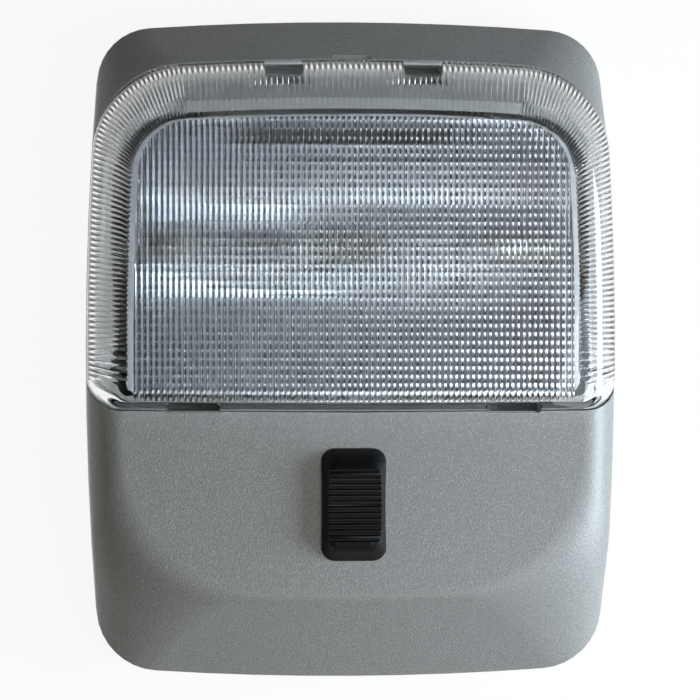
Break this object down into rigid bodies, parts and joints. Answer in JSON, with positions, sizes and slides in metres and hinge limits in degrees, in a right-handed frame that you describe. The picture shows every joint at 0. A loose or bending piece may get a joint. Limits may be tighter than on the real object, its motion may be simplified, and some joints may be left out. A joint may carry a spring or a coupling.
{
  "type": "interior lamp",
  "caption": "Surface-mounted vehicle interior lamp with a grey soap-bar housing, a clear ribbed wrap-over lens and a black grooved slide switch.",
  "frame": {"origin": "centre of the bounding box at the flat back, which lies on the mounting plane", "axes": "+Z out of the lamp's face, +Y towards the lens end, +X to the right seen from the front with the lens end up"},
  "size_m": [0.108, 0.1336, 0.0285],
  "materials": {
    "grey_shell": "fine-grained grey moulding",
    "clear_lens": "clear, ribbed inside",
    "bright_sheet": "bright satin",
    "screw_steel": "zinc plated",
    "bulb_glass": "clear",
    "bulb_cap": "nickel plated",
    "filament_wire": "bare wire",
    "contact_plated": "tin plated strip",
    "rivet_metal": "plain",
    "switch_black": "plain",
    "button_black": "satin black",
    "carriage_white": "natural",
    "bridge_metal": "spring strip",
    "spring_steel": "spring strip"
  },
  "bodies": {
    "housing": {"housing": "grey_shell", "reflector": "bright_sheet", "reflector_screws": "screw_steel", "left_bulb_glass": "bulb_glass", "left_bulb_caps": "bulb_cap", "left_bulb_filament": "filament_wire", "right_bulb_glass": "bulb_glass", "right_bulb_caps": "bulb_cap", "right_bulb_filament": "filament_wire", "left_contact_strip": "contact_plated", "right_contact_strip": "contact_plated", "centre_contact_strip": "contact_plated", "supply_strip": "contact_plated", "contact_rivets": "rivet_metal", "switch_base": "switch_black", "switch_screws": "screw_steel"},
    "lens": {"lens": "clear_lens"},
    "slider": {"slide_button": "button_black", "slide_carriage": "carriage_white", "contact_bridge": "bridge_metal", "detent_spring": "spring_steel"}
  },
  "joints": [
    {"name": "lens_lift", "type": "slide", "parent": "housing", "child": "lens", "axis": [0, 0, 1], "range_m": [0, 0.04]},
    {"name": "switch_slide", "type": "slide", "parent": "housing", "child": "slider", "axis": [0, 1, 0], "range_m": [-0.004, 0.004]}
  ]
}
